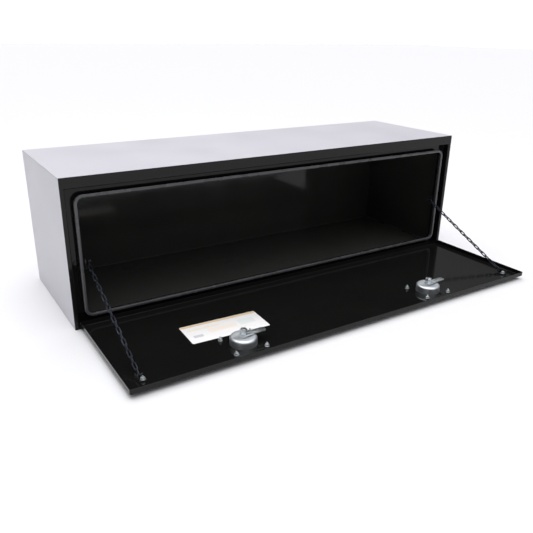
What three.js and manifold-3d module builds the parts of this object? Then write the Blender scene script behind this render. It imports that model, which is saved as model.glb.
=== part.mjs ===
// Truck tool box: a long steel box that hangs under a truck body, with a drop-down door.
// Millimetres, +Z up. The origin is the middle of the box's bottom face, and the door is at -Y.
// The door is modelled open, lying level on its two check chains.
import * as THREE from 'three';
import * as BufferGeometryUtils from 'three/addons/utils/BufferGeometryUtils.js';
import Module from 'manifold-3d';

const wasm = await Module();
wasm.setup();

// ---- driving dimensions ----

// Box
const boxLength = 1524;
const boxDepth = 457.2;
const boxHeight = 457.2;
const sheet = 2;
const fitGap = 0.3; // between pieces that touch

// Front frame: a face strip, a gutter behind it, and a lip that carries the seal
const topStrip = 33;
const sideStrip = 13;
const gutterDepth = 25; // front plane to the gutter floor
const lipInsetTop = 57.7; // outside face to the middle of the seal lip
const lipInsetSide = 40;
const lipInsetBottom = 36;
const lipSetback = 8; // front plane to the lip's front edge
const lipCornerRadius = 22;

// Door seal, pushed onto the lip
const sealBulbWidth = 10;
const sealLegWidth = 2;
const sealLegDepth = 8;
const sealClearance = 0.8; // seal to the closed door's skin

// Door pan
const doorSideGap = 2;
const doorTopGap = 3;
const doorLipDepth = 16;

// Full-length hinge
const leafThickness = 1.5;
const leafGap = 0.6; // between the folded leaves
const leafWidth = 20; // from the hinge axis
const hingeForward = 5; // axis to the front plane
const knuckleRadius = 3.6;
const hingePinRadius = 1.6;
const knuckleCount = 22;
const knuckleGap = 0.4;

// Latches: flange and cup in the door, T handle outside, cam inside
const latchSpacing = 728; // between the two latches
const latchOffset = -20; // the pair's middle, from the box's middle
const latchFromEdge = 82; // latch centre to the door's free edge
const flangeLength = 124;
const flangeWidth = 120;
const flangeThickness = 1.8;
const flangeCorner = 10;
const latchGasketThickness = 1;
const cupRadius = 38; // inside
const cupWall = 1.5;
const cupDepth = 28; // inside, from the flange's outer face
const boltSpacingLength = 98;
const boltSpacingWidth = 94;
const boltRadius = 3;
const boltEnd = 19; // height above the hinge axis
const nutRadius = 6.2;
const nutHeight = 5;
const washerHeight = 1.5;
const washerOverlap = 1.2; // washer past the nut, all round
const boltHeadHeight = 1.6;
const spindleRadius = 6;
const spindleBaseRadius = 15;
const cheekThickness = 4; // the spindle's two cheeks, either side of the handle
const spindleEnd = 54;
const bushingRadius = 14;
const camNutRadius = 11;
const camClearance = 1; // latched cam to the back of the gutter floor
const camThickness = 4;
const camReach = 70;
const camWidth = 24;
const camTaper = 2; // each side, hub to tip
const camTipRadius = 6;
const handleReachShare = 0.76; // pivot to the far side of the T bar, over the cup's radius
const handleBarShare = 1.16; // length of the T bar, over the cup's radius
const handleBarWidth = 12;
const handleThickness = 8;
const stemWidth = 22;
const handlePivotHeight = 13; // above the hinge axis
const handleHubRadius = 7;
const handleHubWidth = 10;
const handlePinRadius = 2.2;
const lockRadius = 6;
const lockFromPivot = 17;

// Check chains
const chainX = 700; // middle of the box to the chain
const chainTopHeight = 200;
const chainTopSetback = 23.6; // front plane to the upper pin
const chainEndFromEdge = 62.8; // lower pin to the door's free edge
const chainEndHeight = 14.4; // lower pin above the hinge axis
const wireThickness = 4;
const linkWidth = 13;
const linkBearing = 1; // how far neighbouring links are fused into each other
const upperLinks = 7;
const lowerLinks = 13;
const chainOpenGap = 5; // between the two runs, at the pivot left open
const chainPinRadius = 2;
const bracketThickness = 2.5;
const bracketSideGap = 1; // chain to bracket
const bracketBoltOffset = 16; // lower pin to the door bracket's bolt
const bracketBoltInside = 4; // chain to the door bracket's bolt, towards the middle
const boxBracketHeight = 22;
const boxBracketReach = 24; // seal lip to the foot's outer end
const boxArmReach = 8; // upper pin to the arm's front end
const doorArmNear = 7; // lower pin to the arm's end on the hinge side
const doorArmFar = 23; // lower pin to its other end
const doorArmRise = 6; // above the lower pin
const doorFootNear = 8.5; // lower pin to the foot's near end
const doorFootInside = 14; // chain to the foot's inner end
const doorBoltRise = 10; // bolt's end above the foot
const frameBoltOutside = 12; // seal lip to the box bracket's bolt

// Label
const labelLength = 250;
const labelWidth = 108;
const labelThickness = 0.5;
const labelX = -382;
const labelFromLatch = 113.8; // latch centre to the label's middle, towards the hinge
const labelTurn = -2.6; // degrees

// ---- sizes worked out from them ----

const halfLength = boxLength / 2;
const frontY = -boxDepth / 2;
const backY = boxDepth / 2;
const bottomStrip = 2 * sheet + fitGap;
const hingeZ = bottomStrip + fitGap + leafThickness + leafGap / 2;
const hingeY = frontY - hingeForward;
const doorHalfWidth = halfLength - sideStrip - doorSideGap;
const doorStart = leafGap / 2 + leafThickness + fitGap;
const doorEnd = boxHeight - topStrip - doorTopGap - hingeZ;
const skinOuter = hingeForward; // heights above the hinge axis, with the door open
const skinInner = skinOuter + sheet;
const doorLipTop = skinOuter + doorLipDepth;
const latchPlace = doorEnd - latchFromEdge;
const labelPlace = latchPlace - labelFromLatch;
const handleReach = handleReachShare * cupRadius;
const handleBarLength = handleBarShare * cupRadius;
const gasketBottom = skinOuter - fitGap - latchGasketThickness;
const flangeTop = gasketBottom - fitGap;
const flangeBottom = flangeTop - flangeThickness;
const cupFloor = flangeBottom + cupDepth;
const cupTop = cupFloor + cupWall;
const camBottom = gutterDepth + sheet + camClearance + hingeForward;
const camTop = camBottom + camThickness;
const chainLowerPlace = doorEnd - chainEndFromEdge;
const chainBoltPlace = chainLowerPlace + bracketBoltOffset;
const chainBoltX = chainX - bracketBoltInside;
const frameBoltX = halfLength - lipInsetSide + frameBoltOutside;

// ---- small makers ----

function toSolid(geometry) {
  const bare = geometry.clone();
  bare.deleteAttribute('normal');
  bare.deleteAttribute('uv');
  const merged = BufferGeometryUtils.mergeVertices(bare, 1e-4);
  return new wasm.Manifold(new wasm.Mesh({
    numProp: 3,
    vertProperties: new Float32Array(merged.attributes.position.array),
    triVerts: new Uint32Array(merged.index.array),
  }));
}

function toGeometry(solid) {
  const mesh = solid.getMesh();
  const geometry = new THREE.BufferGeometry();
  geometry.setAttribute('position', new THREE.BufferAttribute(mesh.vertProperties, 3));
  geometry.setIndex(new THREE.BufferAttribute(mesh.triVerts, 1));
  geometry.computeVertexNormals();
  return geometry;
}

function join(first, ...others) {
  return toGeometry(others.reduce((sum, piece) => sum.add(toSolid(piece)), toSolid(first)));
}

function cut(body, ...tools) {
  return toGeometry(tools.reduce((rest, tool) => rest.subtract(toSolid(tool)), toSolid(body)));
}

function common(first, second) {
  return toGeometry(toSolid(first).intersect(toSolid(second)));
}

// A block from its lowest and highest corners
function block(x0, x1, y0, y1, z0, z1) {
  const geometry = new THREE.BoxGeometry(Math.abs(x1 - x0), Math.abs(y1 - y0), Math.abs(z1 - z0));
  return geometry.translate((x0 + x1) / 2, (y0 + y1) / 2, (z0 + z1) / 2);
}

// A round bar along X, Y or Z, from one place to another
function bar(axis, radius, from, to, sides = 16) {
  const geometry = new THREE.CylinderGeometry(radius, radius, to - from, sides);
  geometry.translate(0, (from + to) / 2, 0);
  if (axis === 'x') geometry.rotateZ(-Math.PI / 2);
  if (axis === 'z') geometry.rotateX(Math.PI / 2);
  return geometry;
}

// A rectangle with rounded corners, as a shape or as a hole in one
function rounded(x0, x1, y0, y1, radius, Kind = THREE.Shape) {
  const outline = new Kind();
  outline.moveTo(x0 + radius, y0);
  outline.lineTo(x1 - radius, y0);
  if (radius > 0) outline.absarc(x1 - radius, y0 + radius, radius, -Math.PI / 2, 0, false);
  outline.lineTo(x1, y1 - radius);
  if (radius > 0) outline.absarc(x1 - radius, y1 - radius, radius, 0, Math.PI / 2, false);
  outline.lineTo(x0 + radius, y1);
  if (radius > 0) outline.absarc(x0 + radius, y1 - radius, radius, Math.PI / 2, Math.PI, false);
  outline.lineTo(x0, y0 + radius);
  if (radius > 0) outline.absarc(x0 + radius, y0 + radius, radius, Math.PI, Math.PI * 1.5, false);
  return outline;
}

// A flat shape given thickness between two heights
function plate(shape, z0, z1, segments = 3) {
  const geometry = new THREE.ExtrudeGeometry(shape, {
    depth: z1 - z0, bevelEnabled: false, curveSegments: segments,
  });
  return geometry.translate(0, 0, z0);
}

// A ring lying in the front plane: insets are measured in from the box's outside faces
function frontRing(outerInsets, innerInsets, depth0, depth1, outerRadius, innerRadius) {
  const edges = ([top, side, bottom]) => [-halfLength + side, halfLength - side, bottom, boxHeight - top];
  const shape = rounded(...edges(outerInsets), outerRadius);
  shape.holes.push(rounded(...edges(innerInsets), innerRadius, THREE.Path));
  const geometry = plate(shape, 0, depth1 - depth0);
  geometry.rotateX(Math.PI / 2);
  return geometry.translate(0, frontY + depth1, 0);
}

const painted = { color: 0x0b0b0c, roughness: 0.25, metalness: 0.1 };
const shellPaint = { color: 0xc9c9cf, roughness: 0.45, metalness: 0.1 };
const zinc = { color: 0xb9bec4, roughness: 0.35, metalness: 0.9 };
const chainZinc = { color: 0x5d6068, roughness: 0.4, metalness: 0.9 };
const castChrome = { color: 0xd3d6da, roughness: 0.18, metalness: 1 };
const rubber = { color: 0x1a1a1b, roughness: 0.7, metalness: 0 };
const vinyl = { color: 0xf2f1ec, roughness: 0.5, metalness: 0 };

function piece(name, geometry, finish) {
  const mesh = new THREE.Mesh(geometry, new THREE.MeshStandardMaterial(finish));
  mesh.name = name;
  return mesh;
}

const toolBox = new THREE.Group();

// ---- shell: five panels, welded at their edges ----

const panelFront = frontY + sheet + fitGap;
toolBox.add(
  piece('top_panel', block(-halfLength, halfLength, panelFront, backY, boxHeight - sheet, boxHeight), shellPaint),
  piece('bottom_panel', block(-halfLength, halfLength, panelFront, backY, 0, sheet), shellPaint),
  piece('back_panel', block(-halfLength, halfLength, backY - sheet, backY,
    sheet + fitGap, boxHeight - sheet - fitGap), shellPaint),
);
for (const [side, name] of [[-1, 'left_end_panel'], [1, 'right_end_panel']]) {
  toolBox.add(piece(name, block(side * halfLength, side * (halfLength - sheet), panelFront,
    backY - sheet - fitGap, sheet + fitGap, boxHeight - sheet - fitGap), shellPaint));
}

// ---- front frame: one folded section all round, cut into four at its corners ----

function frameRing() {
  const strips = [topStrip, sideStrip, bottomStrip];
  const lips = [lipInsetTop, lipInsetSide, lipInsetBottom];
  const shift = (insets, by) => insets.map((inset) => inset + by);
  const floorBack = gutterDepth + sheet;
  const lipInnerRadius = lipCornerRadius - sheet / 2;
  const face = frontRing([0, 0, 0], strips, 0, sheet, 0, 0);
  const wall = frontRing(shift(strips, -sheet), strips, 0, floorBack, 0, 0);
  const floor = frontRing(shift(strips, -sheet), shift(lips, sheet / 2), gutterDepth, floorBack,
    0, lipInnerRadius);
  const lip = frontRing(shift(lips, -sheet / 2), shift(lips, sheet / 2), lipSetback, floorBack,
    lipCornerRadius + sheet / 2, lipInnerRadius);
  const boltHoles = [-1, 1].map((side) => bar('y', boltRadius + fitGap, frontY, frontY + floorBack + 1, 8)
    .translate(side * frameBoltX, 0, chainTopHeight));
  return cut(join(face, wall, floor, lip), ...boltHoles);
}

// The part of the ring between two corner cuts, seen from the front
function frameMember(ring, corners) {
  const outline = new THREE.Shape(corners.map(([x, z]) => new THREE.Vector2(x, z)));
  const wedge = plate(outline, 0, gutterDepth + 3 * sheet);
  wedge.rotateX(Math.PI / 2);
  wedge.translate(0, frontY + gutterDepth + 2 * sheet, 0);
  return common(ring, wedge);
}

function addFrame() {
  const ring = frameRing();
  const reach = 1.4; // how far a corner cut runs on past the seal lip
  const over = 5; // how far a wedge stands outside the ring
  const sideIn = lipInsetSide * reach;
  const slant = fitGap;
  const cornerX = halfLength - slant;
  const topIn = boxHeight - lipInsetTop * reach;
  const bottomIn = lipInsetBottom * reach;
  const topSlope = lipInsetTop / lipInsetSide;
  const bottomSlope = lipInsetBottom / lipInsetSide;
  toolBox.add(piece('front_frame_top', frameMember(ring, [
    [-cornerX - over, boxHeight + over * topSlope], [-cornerX + sideIn, topIn],
    [cornerX - sideIn, topIn], [cornerX + over, boxHeight + over * topSlope],
  ]), painted));
  toolBox.add(piece('front_frame_bottom', frameMember(ring, [
    [-cornerX - over, -over * bottomSlope], [cornerX + over, -over * bottomSlope],
    [cornerX - sideIn, bottomIn], [-cornerX + sideIn, bottomIn],
  ]), painted));
  for (const [side, name] of [[-1, 'front_frame_left'], [1, 'front_frame_right']]) {
    const outerX = side * (halfLength + over);
    const innerX = side * (halfLength - sideIn);
    toolBox.add(piece(name, frameMember(ring, [
      [outerX, -over * bottomSlope], [outerX, boxHeight + over * topSlope],
      [innerX, topIn], [innerX, bottomIn],
    ]), painted));
  }
}
addFrame();

// ---- door seal: a hollow bulb on two legs that grip the lip ----

function sealRing() {
  const lips = [lipInsetTop, lipInsetSide, lipInsetBottom];
  const shift = (by) => lips.map((inset) => inset + by);
  const sealFront = sheet + sealClearance;
  const bulbBack = lipSetback - fitGap;
  const half = sealBulbWidth / 2;
  const slot = sheet / 2 + fitGap;
  const leg = slot + sealLegWidth;
  const crown = 1.5; // rounds the bulb's front edge
  const ring = (by, d0, d1) => frontRing(shift(-by), shift(by), d0, d1,
    lipCornerRadius + by, lipCornerRadius - by);
  const legs = cut(ring(leg, sealFront + crown, bulbBack + sealLegDepth),
    ring(slot, bulbBack, bulbBack + sealLegDepth + 1));
  return join(ring(half, sealFront + crown, bulbBack), ring(half - crown, sealFront, bulbBack), legs);
}
toolBox.add(piece('door_seal', sealRing(), rubber));

// ---- hinge: two leaves with alternate knuckles on one pin ----

// A leaf in its own frame: axis along X, the leaf running along +Y just under or over the axis
function hingeLeaf(firstKnuckle, side) {
  const hingeLength = 2 * doorHalfWidth;
  const station = hingeLength / knuckleCount;
  const near = side * leafGap / 2;
  const far = side * (leafGap / 2 + leafThickness);
  const pieces = [block(-doorHalfWidth, doorHalfWidth, knuckleRadius + 2 * fitGap, leafWidth, near, far)];
  for (let i = firstKnuckle; i < knuckleCount; i += 2) {
    const x0 = -doorHalfWidth + i * station + knuckleGap / 2;
    const x1 = x0 + station - knuckleGap;
    pieces.push(bar('x', knuckleRadius, x0, x1, 10));
    pieces.push(block(x0, x1, 0, leafWidth / 2, near, far));
  }
  return cut(join(...pieces), bar('x', hingePinRadius + fitGap, -halfLength, halfLength, 8));
}

const fixedLeaf = piece('hinge_fixed_leaf', hingeLeaf(0, -1), zinc);
fixedLeaf.position.set(0, hingeY, hingeZ);
const hingePin = piece('hinge_pin', bar('x', hingePinRadius, -doorHalfWidth, doorHalfWidth, 8), zinc);
hingePin.position.set(0, hingeY, hingeZ);
toolBox.add(fixedLeaf, hingePin);

// ---- door: everything below is measured from the hinge axis, with the door lying open ----
// A place on the door is -Y away from the axis; heights are +Z above the axis.

const door = new THREE.Group();
door.position.set(0, hingeY, hingeZ);
toolBox.add(door);

const movingLeaf = piece('hinge_moving_leaf', hingeLeaf(1, 1), zinc);
movingLeaf.rotation.x = Math.PI / 2;
door.add(movingLeaf);

const sides = [[-1, 'left'], [1, 'right']];
const boltPlaces = [[-1, -1], [1, -1], [1, 1], [-1, 1]];

function latchX(side) {
  return latchOffset + side * latchSpacing / 2;
}

// The flat sheet, with room for the latch cups and for every bolt
function doorSkin() {
  const outer = block(-doorHalfWidth, doorHalfWidth, -doorEnd, -doorStart, skinOuter, skinInner);
  const holes = [];
  const hole = (radius, x, y, facets) => holes.push(
    bar('z', radius + fitGap, skinOuter - 1, skinInner + 1, facets).translate(x, y, 0));
  for (const [side] of sides) {
    hole(cupRadius + cupWall, latchX(side), -latchPlace, 32);
    for (const [u, v] of boltPlaces) {
      hole(boltRadius, latchX(side) + u * boltSpacingLength / 2, -latchPlace + v * boltSpacingWidth / 2, 8);
    }
    hole(boltRadius, side * chainBoltX, -chainBoltPlace, 8);
  }
  return cut(outer, ...holes);
}

// The four lips that stand on the sheet's edges, as one closed rim
function doorLips() {
  const outer = block(-doorHalfWidth, doorHalfWidth, -doorEnd, -doorStart, skinInner + fitGap, doorLipTop);
  const inner = block(-doorHalfWidth + sheet, doorHalfWidth - sheet, -doorEnd + sheet,
    -doorStart - sheet, skinInner, doorLipTop + 1);
  return cut(outer, inner);
}

// ---- latch ----

// The flange's outline with its bolt holes, and a round hole in the middle
function flangePlate(z0, z1, middleRadius) {
  const outline = rounded(-flangeLength / 2, flangeLength / 2, -flangeWidth / 2, flangeWidth / 2, flangeCorner);
  const holes = boltPlaces.map(([u, v]) => bar('z', boltRadius + fitGap, z0 - 1, z1 + 1, 8)
    .translate(u * boltSpacingLength / 2, v * boltSpacingWidth / 2, 0));
  return cut(plate(outline, z0, z1), bar('z', middleRadius, z0 - 1, z1 + 1, 32), ...holes);
}

function latchCup() {
  const flange = flangePlate(flangeBottom, flangeTop, cupRadius);
  const outside = bar('z', cupRadius + cupWall, flangeBottom, cupTop, 32);
  const hollow = bar('z', cupRadius, flangeBottom - 1, cupFloor, 32);
  return cut(join(flange, outside), hollow, shaftRoom(cupFloor, cupTop));
}

function latchSpindle() {
  const baseTop = cupFloor - fitGap;
  const baseBottom = handlePivotHeight + handleHubRadius + fitGap;
  const cheekInner = handleHubWidth / 2 + fitGap;
  const pieces = [
    bar('z', spindleBaseRadius, baseBottom, baseTop, 24),
    bar('z', spindleRadius, baseBottom, spindleEnd, 16),
  ];
  for (const side of [-1, 1]) {
    const y0 = side * cheekInner;
    const y1 = side * (cheekInner + cheekThickness);
    pieces.push(block(-handleHubRadius, handleHubRadius, y0, y1, handlePivotHeight, baseTop));
    const round = bar('y', handleHubRadius, Math.min(y0, y1), Math.max(y0, y1), 20);
    pieces.push(round.translate(0, 0, handlePivotHeight));
  }
  const pinHole = bar('y', handlePinRadius + fitGap, -20, 20, 12).translate(0, 0, handlePivotHeight);
  return cut(join(...pieces), pinHole);
}

function latchHandle() {
  const bottom = handlePivotHeight - handleHubRadius - 2;
  const top = bottom + handleThickness;
  const stem = plate(rounded(-handleReach + 4, 0, -stemWidth / 2, stemWidth / 2, 2), bottom, top);
  const cross = plate(rounded(-handleReach, -handleReach + handleBarWidth, -handleBarLength / 2,
    handleBarLength / 2, 5), bottom, top);
  const hub = bar('y', handleHubRadius, -handleHubWidth / 2, handleHubWidth / 2, 20)
    .translate(0, 0, handlePivotHeight);
  const neck = block(-handleHubRadius - 3, 0, -handleHubWidth / 2, handleHubWidth / 2, bottom, top);
  const cheekRoom = (side) => block(-handleHubRadius - 1, handleHubRadius,
    side * (handleHubWidth / 2 + 0.01), side * (stemWidth / 2 + 1), bottom - 1, top + 1);
  const body = cut(join(stem, cross), cheekRoom(-1), cheekRoom(1));
  const pinHole = bar('y', handlePinRadius + fitGap, -20, 20, 12).translate(0, 0, handlePivotHeight);
  const lockHole = bar('z', lockRadius + fitGap, bottom - 1, top + 1, 20).translate(-lockFromPivot, 0, 0);
  return cut(join(body, hub, neck), pinHole, lockHole);
}

function lockCylinder() {
  const bottom = handlePivotHeight - handleHubRadius - 2;
  const plug = bar('z', lockRadius, bottom - 0.5, bottom + handleThickness + 1.5, 20);
  const keyway = block(-0.8, 0.8, -3.6, 3.6, bottom - 1, bottom + 3);
  return cut(plug, keyway);
}

function latchCam() {
  const outline = new THREE.Shape();
  const half = camWidth / 2;
  outline.absarc(0, 0, half, Math.PI / 2, Math.PI * 1.5, false);
  const tipX = camReach - camTipRadius;
  const tipY = half - camTaper - camTipRadius;
  outline.lineTo(tipX, -half + camTaper);
  outline.absarc(tipX, -tipY, camTipRadius, -Math.PI / 2, 0, false);
  outline.absarc(tipX, tipY, camTipRadius, 0, Math.PI / 2, false);
  return cut(plate(outline, camBottom, camTop, 4), shaftRoom(camBottom, camTop));
}

// The hole that lets a piece onto the spindle
function shaftRoom(z0, z1) {
  return bar('z', spindleRadius + fitGap, z0 - 1, z1 + 1, 16);
}

// A ring or a nut on the spindle
function collar(radius, z0, z1, sides) {
  return cut(bar('z', radius, z0, z1, sides), shaftRoom(z0, z1));
}

// A coach bolt from outside, with its washer and nut drawn up tight on the skin's inner face
function boltAndNut(headBottom, gripTop, end) {
  const washerBottom = gripTop + fitGap;
  return join(
    bar('z', nutRadius, headBottom - boltHeadHeight, headBottom - fitGap, 12),
    bar('z', boltRadius, headBottom - 1, end, 8),
    bar('z', nutRadius + washerOverlap, washerBottom, washerBottom + washerHeight, 12),
    bar('z', nutRadius, washerBottom + 1, washerBottom + washerHeight + nutHeight, 6),
  );
}

function addLatch(side, name) {
  const latch = new THREE.Group();
  latch.position.set(latchX(side), -latchPlace, 0);
  const gasket = flangePlate(gasketBottom, skinOuter - fitGap, cupRadius + cupWall + fitGap);
  const handlePin = bar('y', handlePinRadius, -handleHubWidth / 2 - 4, handleHubWidth / 2 + 4, 12)
    .translate(0, 0, handlePivotHeight);
  latch.add(
    piece(`${name}_latch_cup`, latchCup(), castChrome),
    piece(`${name}_latch_gasket`, gasket, rubber),
    piece(`${name}_latch_spindle`, latchSpindle(), castChrome),
    piece(`${name}_latch_bushing`, collar(bushingRadius, cupTop + fitGap, camBottom - 2 * fitGap, 24), zinc),
    piece(`${name}_latch_cam`, latchCam(), zinc),
    piece(`${name}_cam_nut`, collar(camNutRadius, camTop + fitGap, spindleEnd - 2, 6), zinc),
    piece(`${name}_latch_handle`, latchHandle(), castChrome),
    piece(`${name}_handle_pin`, handlePin, zinc),
    piece(`${name}_lock_cylinder`, lockCylinder().translate(-lockFromPivot, 0, 0), castChrome),
  );
  boltPlaces.forEach(([u, v], index) => {
    const bolt = boltAndNut(flangeBottom, skinInner, boltEnd);
    bolt.translate(u * boltSpacingLength / 2, v * boltSpacingWidth / 2, 0);
    latch.add(piece(`${name}_latch_bolt_${index + 1}`, bolt, zinc));
  });
  door.add(latch);
}

// ---- check chains ----

const pinRoom = chainPinRadius + fitGap + 0.1 + linkBearing / 2; // pin centre to the end link's seat
const upperPin = new THREE.Vector2(frontY + chainTopSetback, chainTopHeight);
const lowerPin = new THREE.Vector2(hingeY - chainLowerPlace, hingeZ + chainEndHeight);
const chainReach = upperPin.distanceTo(lowerPin);
const linkPitch = (chainReach - chainOpenGap + 2 * pinRoom - 2 * wireThickness) / (upperLinks + lowerLinks);
const chainSlope = Math.atan2(upperPin.y - lowerPin.y, upperPin.x - lowerPin.x);
const armInner = chainX + linkWidth / 2 + bracketSideGap;
const armOuter = armInner + bracketThickness;

// A link is a ring pulled out along Y, upright or flat; neighbours are fused where they bear
function chainLink(place, flat) {
  const wire = wireThickness / 2;
  const ringRadius = linkWidth / 2 - wire;
  const stretch = linkPitch - linkBearing + wireThickness - 2 * ringRadius;
  const geometry = new THREE.TorusGeometry(ringRadius, wire, 4, 10);
  const position = geometry.attributes.position;
  for (let i = 0; i < position.count; i += 1) {
    position.setX(i, position.getX(i) + Math.sign(position.getX(i)) * stretch / 2);
  }
  geometry.rotateZ(Math.PI / 2);
  if (!flat) geometry.rotateY(Math.PI / 2);
  return geometry.translate(0, place, 0);
}

// A run of links along -Y, its first link round a pin at the origin
function chainRun(count) {
  const links = [];
  for (let i = 0; i < count; i += 1) {
    links.push(chainLink(-((i + 0.5) * linkPitch - pinRoom), i % 2 === 1));
  }
  return join(...links);
}

function addChain(side, name) {
  const upper = piece(`${name}_chain_upper_run`, chainRun(upperLinks), chainZinc);
  upper.position.set(side * chainX, upperPin.x, upperPin.y);
  upper.rotation.x = chainSlope;
  const lower = piece(`${name}_chain_lower_run`, chainRun(lowerLinks), chainZinc);
  lower.position.set(side * chainX, lowerPin.x, lowerPin.y);
  lower.rotation.x = chainSlope + Math.PI;
  toolBox.add(upper, lower);

  // Box bracket: an arm beside the seal, its foot behind the gutter floor
  const footFront = frontY + gutterDepth + sheet + fitGap;
  const footBack = footFront + bracketThickness;
  const footOuter = halfLength - lipInsetSide + boxBracketReach;
  const boltX = side * frameBoltX;
  const z0 = chainTopHeight - boxBracketHeight / 2;
  const z1 = chainTopHeight + boxBracketHeight / 2;
  const upperArm = block(side * armInner, side * armOuter, upperPin.x - boxArmReach, footBack, z0, z1);
  const upperFoot = block(side * armInner, side * footOuter, footFront, footBack, z0, z1);
  const pinHoleAt = (y, z) => bar('x', chainPinRadius + fitGap, -halfLength, halfLength, 12).translate(0, y, z);
  const boltHole = bar('y', boltRadius + fitGap, footFront - 1, footBack + 1, 8)
    .translate(boltX, 0, chainTopHeight);
  toolBox.add(piece(`${name}_chain_bracket`,
    cut(join(upperArm, upperFoot), pinHoleAt(upperPin.x, upperPin.y), boltHole), zinc));

  const bracketBolt = join(
    bar('y', nutRadius, frontY + gutterDepth - 4, frontY + gutterDepth - fitGap, 6),
    bar('y', boltRadius, frontY + gutterDepth - 2, footBack + 8, 8),
    bar('y', nutRadius, footBack + fitGap, footBack + 5, 6),
  ).translate(boltX, 0, chainTopHeight);
  toolBox.add(piece(`${name}_bracket_bolt`, bracketBolt, zinc));

  // Door bracket: an arm beside the end link, its foot bolted to the door's inner face
  const foot0 = skinInner + fitGap;
  const foot1 = foot0 + bracketThickness;
  const farPlace = -(chainLowerPlace + doorArmFar);
  const lowerArm = block(side * armInner, side * armOuter, -(chainLowerPlace - doorArmNear), farPlace,
    foot0, chainEndHeight + doorArmRise);
  const lowerFoot = block(side * (chainX - doorFootInside), side * armOuter, -(chainLowerPlace + doorFootNear),
    farPlace, foot0, foot1);
  const doorBoltHole = bar('z', boltRadius + fitGap, foot0 - 1, foot1 + 1, 8)
    .translate(side * chainBoltX, -chainBoltPlace, 0);
  door.add(piece(`${name}_door_bracket`,
    cut(join(lowerArm, lowerFoot), pinHoleAt(-chainLowerPlace, chainEndHeight), doorBoltHole), zinc));

  const doorBolt = boltAndNut(skinOuter, foot1, foot1 + doorBoltRise);
  doorBolt.translate(side * chainBoltX, -chainBoltPlace, 0);
  door.add(piece(`${name}_door_bracket_bolt`, doorBolt, zinc));

  // Pins: a shank through the arm and the end link, headed on the inside
  const pin = () => {
    const inner = chainX - linkWidth / 2;
    const shape = join(bar('x', chainPinRadius, inner - 1, armOuter + 1.5, 12),
      bar('x', chainPinRadius + 2, inner - 3, inner - 1 + 0.2, 12));
    return side > 0 ? shape : shape.rotateZ(Math.PI);
  };
  toolBox.add(piece(`${name}_upper_chain_pin`, pin().translate(0, upperPin.x, upperPin.y), zinc));
  door.add(piece(`${name}_lower_chain_pin`, pin().translate(0, -chainLowerPlace, chainEndHeight), zinc));
}

// ---- put the door together ----

door.add(piece('door_skin', doorSkin(), painted), piece('door_lips', doorLips(), painted));
for (const [side, name] of sides) {
  addLatch(side, name);
  addChain(side, name);
}

const label = plate(rounded(-labelLength / 2, labelLength / 2, -labelWidth / 2, labelWidth / 2, 4),
  skinInner + fitGap / 2, skinInner + fitGap / 2 + labelThickness);
label.rotateZ(THREE.MathUtils.degToRad(labelTurn));
label.translate(labelX, -labelPlace, 0);
door.add(piece('door_label', label, vinyl));

export default toolBox;
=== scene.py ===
import math

import bmesh
import bpy
from mathutils import Matrix, Vector


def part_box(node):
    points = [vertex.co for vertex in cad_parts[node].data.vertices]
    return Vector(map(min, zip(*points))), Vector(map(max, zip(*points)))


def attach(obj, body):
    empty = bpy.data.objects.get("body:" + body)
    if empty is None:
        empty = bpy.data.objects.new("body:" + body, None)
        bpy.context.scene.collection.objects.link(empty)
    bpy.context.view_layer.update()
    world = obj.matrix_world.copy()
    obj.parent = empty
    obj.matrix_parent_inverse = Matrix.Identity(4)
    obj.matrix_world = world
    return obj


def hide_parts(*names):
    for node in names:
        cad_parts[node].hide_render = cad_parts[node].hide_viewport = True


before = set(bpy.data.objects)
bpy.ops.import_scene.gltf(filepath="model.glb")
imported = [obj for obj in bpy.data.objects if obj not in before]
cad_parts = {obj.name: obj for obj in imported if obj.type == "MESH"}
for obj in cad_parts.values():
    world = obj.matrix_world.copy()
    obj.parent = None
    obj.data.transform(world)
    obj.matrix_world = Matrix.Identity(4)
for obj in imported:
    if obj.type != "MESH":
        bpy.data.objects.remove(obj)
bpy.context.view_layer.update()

mm = 0.001
labelTurn = math.radians(-2.6)
print("tool box: frame loaded")


# Small makers

def toLinear(hexColour):
    channels = [int(hexColour[i:i + 2], 16) / 255 for i in (1, 3, 5)]
    return [c / 12.92 if c <= 0.04045 else ((c + 0.055) / 1.055) ** 2.4 for c in channels] + [1.0]


def addNode(tree, kind, values=None, links=None, **settings):
    node = tree.nodes.new(kind)
    for name, value in settings.items():
        setattr(node, name, value)
    for socket, value in (values or {}).items():
        node.inputs[socket].default_value = value
    for socket, source in (links or {}).items():
        tree.links.new(source, node.inputs[socket])
    return node


def middleOf(node):
    low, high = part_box(node)
    return (low + high) / 2


def meshPiece(name, mesh):
    piece = bpy.data.objects.new(name, mesh)
    bpy.context.scene.collection.objects.link(piece)
    return piece


def closeMesh(name, bm, sharpAngle=32):
    values = {"merge": 0.002 * mm, "thin": 0.001 * mm}
    bmesh.ops.remove_doubles(bm, verts=bm.verts, dist=values["merge"])
    bmesh.ops.dissolve_degenerate(bm, dist=values["thin"], edges=bm.edges)
    bmesh.ops.recalc_face_normals(bm, faces=bm.faces)
    mesh = bpy.data.meshes.new(name)
    bm.to_mesh(mesh)
    bm.free()
    mesh.shade_smooth()
    mesh.set_sharp_from_angle(angle=math.radians(sharpAngle))
    return mesh


# A skin over matching loops of points; closed joins the last loop to the first, capped fills both ends
def loft(bm, loops, closed=True, capped=False):
    rings = [[bm.verts.new(point) for point in loop] for loop in loops]
    count = len(rings[0])
    pairs = zip(rings, rings[1:] + rings[:1]) if closed else zip(rings, rings[1:])
    for ringA, ringB in pairs:
        for i in range(count):
            j = (i + 1) % count
            bm.faces.new((ringA[i], ringA[j], ringB[j], ringB[i]))
    if capped:
        bm.faces.new(rings[0])
        bm.faces.new(rings[-1])
    return rings


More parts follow.
